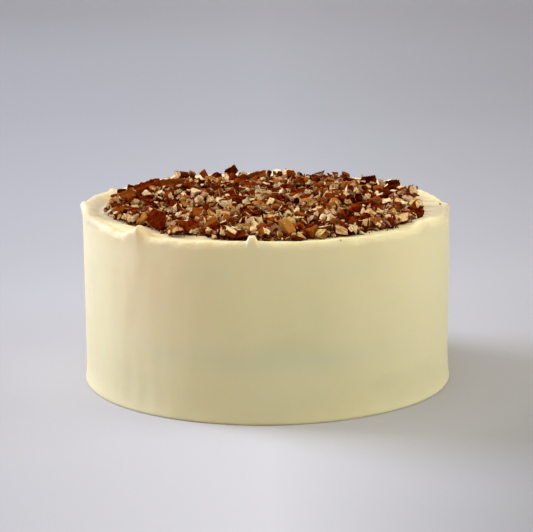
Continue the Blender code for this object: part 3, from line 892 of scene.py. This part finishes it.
def drop(heap, half, points, triangles, spots, sink):
    """Lets one piece fall at the lowest of several spots, and returns how far it moves."""
    under, over, first = under_and_over(points, triangles)
    wide, deep = under.shape
    best = None
    for x, y in spots:
        i, j = round(x / CELL) - wide // 2 + half, round(y / CELL) - deep // 2 + half
        below = heap[i : i + wide, j : j + deep]
        rest = float(np.max(np.where(np.isfinite(under), below - under, -np.inf)))
        if best is None or rest < best[0]:
            best = (rest, i, j)
    rest, i, j = best
    rest -= sink
    heap[i : i + wide, j : j + deep] = np.maximum(heap[i : i + wide, j : j + deep], over + rest)
    return Vector(((i - half - first[0]) * CELL, (j - half - first[1]) * CELL, rest))


def random_spots(rng, points, count):
    """Places all over the heap where a piece of this size stays inside the outline."""
    size = max(np.ptp(points[:, 0]), np.ptp(points[:, 1])) + CELL
    spots = []
    for _ in range(count):
        turn, radius = rng.uniform(-math.pi, math.pi), math.sqrt(rng.random())
        reach = min(HEAP_RADIUS + outline(turn), HEAP_LIMIT) - size / 2
        spots.append((radius * reach * math.sin(turn), -radius * reach * math.cos(turn)))
    return spots


def chopped(cuts, thinnest):
    """A piece of kernel within the cuts, with its size, middle and heart, or nothing if it is a sliver."""
    bm = chop(kernel_half(), cuts)
    if len(bm.faces) < 4:
        return None
    points, _ = corners_of(bm)
    low, high = points.min(axis=0), points.max(axis=0)
    if min(high - low) < thinnest:
        return None
    middle = Vector((low + high) / 2)
    bmesh.ops.translate(bm, verts=bm.verts, vec=-middle)
    return bm, high - low, middle, Vector(points.mean(axis=0))


def striking_pieces(heap, half):
    """The pieces that stand out, each set down at its own place."""
    pieces = []
    for x, y, start, length, low, high, roll, pitch, yaw in STRIKING_PIECES:
        start *= KERNEL_LENGTH
        cuts = [
            (Vector((start, 0.0, 0.0)), Vector((-1.0, 0.2, 0.1)).normalized()),
            (Vector((start + length, 0.0, 0.0)), Vector((1.0, 0.1, -0.2)).normalized()),
            (Vector((start, low * KERNEL_WIDTH, 0.0)), Vector((0.1, -1.0, 0.2)).normalized()),
            (Vector((start, high * KERNEL_WIDTH, 0.0)), Vector((0.0, 1.0, 0.1)).normalized()),
        ]
        bm, _, middle, heart = chopped(cuts, THINNEST_PIECE)
        turn = Euler([math.radians(angle) for angle in (roll, pitch, yaw)]).to_matrix()
        bmesh.ops.rotate(bm, verts=bm.verts, matrix=turn)
        place = drop(heap, half, *corners_of(bm), [(x, y)], SINK)
        bm.free()
        pieces.append(Piece(cuts, heart, middle, turn, place))
    return pieces


def fallen(rng, heap, half, count, longest, shortest, cutter, thinnest, spots, sink):
    """The pieces of one kind, dropped one by one, largest first."""
    pieces = []
    while len(pieces) < count:
        share = (1.0 - len(pieces) / (count - 1)) ** SIZE_FALL
        cuts = cutter(rng, shortest + (longest - shortest) * share)
        made = chopped(cuts, thinnest)
        if made is None:
            continue
        bm, size, middle, heart = made
        turn = lying(rng, size)
        bmesh.ops.rotate(bm, verts=bm.verts, matrix=turn)
        points, triangles = corners_of(bm)
        bm.free()
        place = drop(heap, half, points, triangles, random_spots(rng, points, spots), sink)
        pieces.append(Piece(cuts, heart, middle, turn, place))
    return pieces


def skin_reach(hearts, ways):
    """How far the kernel's skin is from each heart along each way, found by halving."""
    near = np.zeros((len(hearts), len(ways)))
    far = np.full_like(near, KERNEL_LENGTH)
    for _ in range(22):
        half = (near + far) / 2
        spot = hearts[:, None, :] + half[..., None] * ways[None]
        x = spot[..., 0] / (KERNEL_LENGTH / 2)
        y = spot[..., 1] / (KERNEL_WIDTH / 2) / (1.0 - KERNEL_TAPER * np.clip(x, -1, 1))
        fuller = np.clip(1 - x * x, 0, 1)
        groove = np.exp(-(((np.abs(y) - GROOVE_PLACE) / GROOVE_WIDTH) ** 2)) * fuller
        wrinkle = ripples(spot, WRINKLE_LENGTH, 41, stretch=WRINKLE_STRETCH) * WRINKLE_DEPTH
        furrow = FURROW_DEPTH * np.exp(-((y / FURROW_WIDTH) ** 2)) * fuller
        back = (spot[..., 2] + GROOVE_DEPTH * groove + wrinkle) / KERNEL_BACK
        face = (spot[..., 2] - furrow + wrinkle) / KERNEL_FACE
        z = np.where(spot[..., 2] > 0.0, np.maximum(back, 0.0), np.minimum(face, 0.0))
        inside = x * x + y * y + z * z < 1.0
        near, far = np.where(inside, half, near), np.where(inside, far, half)
    return near


def reaches(pieces, ways):
    """For each piece and way: how far its skin and each of its cuts is from its heart."""
    hearts = np.array([piece.heart for piece in pieces])
    most = max(len(piece.cuts) for piece in pieces)
    reach = np.full((len(pieces), len(ways), most + 1), np.inf)
    reach[..., 0] = skin_reach(hearts, ways)
    for number, piece in enumerate(pieces):
        for k, (point, normal) in enumerate(piece.cuts):
            facing = ways @ np.array(normal)
            ahead = float((point - piece.heart).dot(normal))
            reach[number, :, k + 1] = np.where(facing > 1e-4, ahead / np.maximum(facing, 1e-4), np.inf)
    return reach


def ball(level):
    bm = bmesh.new()
    bmesh.ops.create_icosphere(bm, subdivisions=level, radius=1.0)
    points, triangles = corners_of(bm)
    bm.free()
    return points, triangles


def all_faces(triangles, count, points_each):
    """The faces of so many copies of one ball, their points one ball after another."""
    return (triangles[None] + np.arange(count)[:, None, None] * points_each).reshape(-1, 3)


def fine_pieces(name, pieces, level, rough, seed, tints=()):
    """All the pieces of one kind as a mesh: each a ball drawn in to its skin and its cuts, roughly broken."""
    ways, triangles = ball(level)
    reach = reaches(pieces, ways)
    rng = np.random.default_rng(seed)
    folded = rng.uniform(size=(len(pieces), 1, reach.shape[-1])) < SKIN_SIDES
    folded[..., 0] = True
    skin = np.where(folded, reach, np.inf).min(axis=-1)
    cut = np.where(folded, KERNEL_LENGTH, reach).min(axis=-1)
    flesh = np.clip(0.5 + (skin - cut) / FLESH_BORDER, 0.0, 1.0)
    nearest = reach.min(axis=-1)
    softened = np.exp((nearest[..., None] - reach) / EDGE_SOFTNESS).sum(axis=-1)
    length = nearest - EDGE_SOFTNESS * np.log(softened)
    hearts = np.array([piece.heart for piece in pieces])
    spots = hearts[:, None, :] + length[..., None] * ways[None]
    offset = np.arange(len(pieces))[:, None, None] * PIECE_OFFSET
    noise = sum(ripples(spots + offset, size, seed + n) * 0.5 for n, size in enumerate(BREAK_LENGTHS))
    length = length * (1.0 - rough * (0.5 + 0.5 * noise) * (0.3 + 0.7 * flesh))
    spots = hearts[:, None, :] + length[..., None] * ways[None]
    turned = np.empty_like(spots)
    for number, piece in enumerate(pieces):
        from_middle = spots[number] - np.array(piece.middle)
        turned[number] = from_middle @ np.array(piece.turn).T + np.array(piece.place)
    turned[..., 2] = np.maximum(turned[..., 2], PIECE_FLOOR)
    faces = all_faces(triangles, len(pieces), len(ways))
    obj = mesh_object(name, turned.reshape(-1, 3), faces, sharp_angle=50)
    kernel_places(obj, spots + offset)
    tones = rng.uniform(size=len(pieces))
    tones[: len(tints)] = tints
    numbers(obj, "flesh", flesh.ravel())
    numbers(obj, "tint", np.repeat(tones, len(ways)))
    numbers(obj, "pale", np.repeat(rng.uniform(size=len(pieces)), len(ways)))
    return obj


def crumb(rng, ways, size):
    """A ball of directions pressed out of round and cut by a few planes, its lowest point at no height."""
    shape = np.array([rng.uniform(low, high) for low, high in CRUMB_SHAPE]) * size
    points = ways * shape
    for _ in range(CRUMB_CUTS):
        normal = np.array([rng.gauss(0, 1) for _ in range(3)])
        normal /= np.linalg.norm(normal)
        past = np.maximum(points @ normal - size * rng.uniform(*CRUMB_CUT_PLACES), 0.0)
        points = points - past[:, None] * normal
    spin = np.array(Euler([rng.uniform(0, math.tau) for _ in range(3)]).to_matrix())
    points = points @ spin.T
    return points - (0.0, 0.0, points[:, 2].min())


def crumbs(heap, half, rng):
    """Small crumbs on and between the pieces, and the two that fell on the rim."""
    count, longest, shortest = CRUMBS
    ways, triangles = ball(2)
    rows = []
    for _ in range(count):
        turn, share = rng.uniform(-math.pi, math.pi), math.sqrt(rng.random())
        reach = (HEAP_RADIUS + outline(turn)) * share
        x, y = reach * math.sin(turn), -reach * math.cos(turn)
        rest = heap[round(x / CELL) + half, round(y / CELL) + half]
        rows.append((x, y, rest, shortest + (longest - shortest) * rng.random() ** CRUMB_FALL))
    rows += STRAY_CRUMBS
    strays = len(STRAY_CRUMBS)
    points = np.array([crumb(rng, ways, size) + (x, y, z - LIGHT_SINK) for x, y, z, size in rows])
    faces = all_faces(triangles, len(rows), len(ways))
    obj = mesh_object("pecan_crumbs", points.reshape(-1, 3), faces, sharp_angle=35)
    kernel_places(obj, points)
    flesh = [1.0 if rng.random() < FLESH_CRUMBS else 0.0 for _ in range(count)] + [1.0] * strays
    tints = [rng.random() for _ in rows]
    pales = [rng.random() for _ in range(count)] + [STRAY_TONE] * strays
    for name, values in (("flesh", flesh), ("tint", tints), ("pale", pales)):
        numbers(obj, name, np.repeat(values, len(ways)))
    return obj


def pecan_bed():
    """The crumbly layer under the pieces."""
    share = np.linspace(0.0, 1.0, BED_RINGS + 1)[1:, None]
    turn = np.linspace(-math.pi, math.pi, BED_STEPS, endpoint=False)[None, :]
    edge = core_edge(turn) - BED_INSET
    x, y = edge * share * np.sin(turn), -edge * share * np.cos(turn)
    z = core_height(x, y)
    lumps = ripples(np.stack([x, y, z], axis=-1), BED_CRUMB, 21)
    z = z + BED_CRUMBLE * lumps * np.clip((1 - share) * BED_EDGE_FADE, 0, 1) - BED_SINK
    z = np.maximum(z, TOP_HEIGHT + 0.0001)
    z[-1] = TOP_HEIGHT - 0.0004
    points = np.stack([x, y, z], axis=-1).reshape(-1, 3)
    grid, _, quads = ring_faces(BED_RINGS, BED_STEPS)
    return closed_object("pecan_bed", points, [*quads, grid[0], grid[-1]])


def chopped_pecans(finish, bed_finish):
    rng = random.Random(SEED)
    heap, half = empty_heap()
    large = striking_pieces(heap, half)
    large += fallen(
        rng, heap, half, PIECES, LONGEST_PIECE, SHORTEST_PIECE, knife_cuts, THINNEST_PIECE, SPOTS, SINK
    )
    medium = fallen(rng, heap, half, *CHIPS, bit_cuts, THINNEST_BIT, BIT_SPOTS, LIGHT_SINK)
    small = fallen(rng, heap, half, *BITS, bit_cuts, THINNEST_BIT, BIT_SPOTS, LIGHT_SINK)
    bed = pecan_bed()
    bed.data.materials.append(bed_finish)
    made = [
        fine_pieces("pecan_chunks", large[:LARGEST], level=4, rough=0.10, seed=51, tints=STRIKING_TINTS),
        fine_pieces("pecan_pieces", large[LARGEST:], level=4, rough=0.12, seed=53),
        fine_pieces("pecan_chips", medium, level=4, rough=0.14, seed=56),
        fine_pieces("pecan_bits", small, level=3, rough=0.15, seed=61),
        crumbs(heap, half, rng),
    ]
    for obj in made:
        obj.data.materials.append(finish)
    for obj in [bed, *made]:
        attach(obj, "root")
        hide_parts("chopped_pecans")


# Stage


def backdrop(finish):
    """A round sweep: a floor that curves up into a wall far off, alike from every side."""
    bend = [(math.sin(a), 1 - math.cos(a)) for a in np.linspace(0, math.pi / 2, BEND_POINTS + 1)[1:]]
    points = [(ring, 0.0, 0.0) for ring in FLOOR_RINGS]
    points += [(FLOOR_RINGS[-1] + BEND_RADIUS * out, 0.0, BEND_RADIUS * up) for out, up in bend]
    points += [(FLOOR_RINGS[-1] + BEND_RADIUS, 0.0, WALL_TOP)]
    mesh = bpy.data.meshes.new("backdrop")
    mesh.from_pydata(points, [(i, i + 1) for i in range(len(points) - 1)], [])
    obj = linked("backdrop", mesh)
    screw = obj.modifiers.new("Screw", "SCREW")
    screw.steps = screw.render_steps = BACKDROP_STEPS
    screw.use_merge_vertices = True
    screw.merge_threshold = 0.0001
    screw.use_smooth_shade = True
    screw.use_normal_flip = True
    mesh.materials.append(finish)


def softbox(name, place, size, watts, colour):
    light = bpy.data.lights.new(name, "AREA")
    light.shape = "RECTANGLE"
    light.size, light.size_y = size
    light.energy = watts
    light.color = colour
    obj = linked(name, light)
    obj.location = place
    obj.rotation_euler = (Vector(LIGHTS_AIM) - Vector(place)).to_track_quat("-Z", "Y").to_euler()
    obj.visible_camera = False


def lights():
    softbox("key_left", (-1.7, 0.70, 0.95), (1.0, 1.0), 53.0, (0.72, 0.79, 1.0))
    softbox("top", (-0.2, -0.1, 1.8), (1.4, 1.4), 12.5, (1.0, 0.975, 0.88))
    softbox("right", (1.7, -0.1, 0.6), (1.2, 1.2), 15.0, (0.94, 1.0, 0.97))
    softbox("front", (0.3, -1.8, 1.3), (1.2, 1.2), 9.6, (1.0, 0.985, 0.85))
    world = bpy.data.worlds.new("studio")
    world.use_nodes = True
    glow = world.node_tree.nodes["Background"]
    glow.inputs["Color"].default_value = (1.0, 0.985, 0.83, 1.0)
    glow.inputs["Strength"].default_value = 0.455
    bpy.context.scene.world = world


def camera():
    data = bpy.data.cameras.new("camera")
    data.sensor_width = SENSOR
    data.lens = FOCAL_PIXELS / FRAME_WIDTH * SENSOR
    data.clip_end = 20.0
    obj = linked("camera", data)
    pitch, roll = math.radians(CAMERA_PITCH), math.radians(CAMERA_ROLL)
    ahead = Vector((0.0, math.cos(pitch), -math.sin(pitch)))
    up = Vector((0.0, math.sin(pitch), math.cos(pitch)))
    right = Vector((1.0, 0.0, 0.0))
    rolled_right = right * math.cos(roll) + up * math.sin(roll)
    rolled_up = up * math.cos(roll) - right * math.sin(roll)
    turn = Matrix((rolled_right, rolled_up, -ahead)).transposed()
    obj.matrix_world = Matrix.Translation(CAMERA_PLACE) @ turn.to_4x4()
    bpy.context.scene.camera = obj


def look():
    view = bpy.context.scene.view_settings
    view.view_transform = "Standard"
    view.look = "None"
    view.exposure = 0.0
    view.gamma = 1.0


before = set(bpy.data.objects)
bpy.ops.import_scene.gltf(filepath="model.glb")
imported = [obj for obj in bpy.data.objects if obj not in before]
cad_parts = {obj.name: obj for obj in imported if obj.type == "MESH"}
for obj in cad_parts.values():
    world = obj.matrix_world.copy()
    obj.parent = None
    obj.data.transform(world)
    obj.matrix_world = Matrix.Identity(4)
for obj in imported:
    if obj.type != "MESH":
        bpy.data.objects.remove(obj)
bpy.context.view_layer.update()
camera()
lights()
look()
backdrop(backdrop_material())
iced_cake(icing_material())
chopped_pecans(pecan_material(), bed_material())
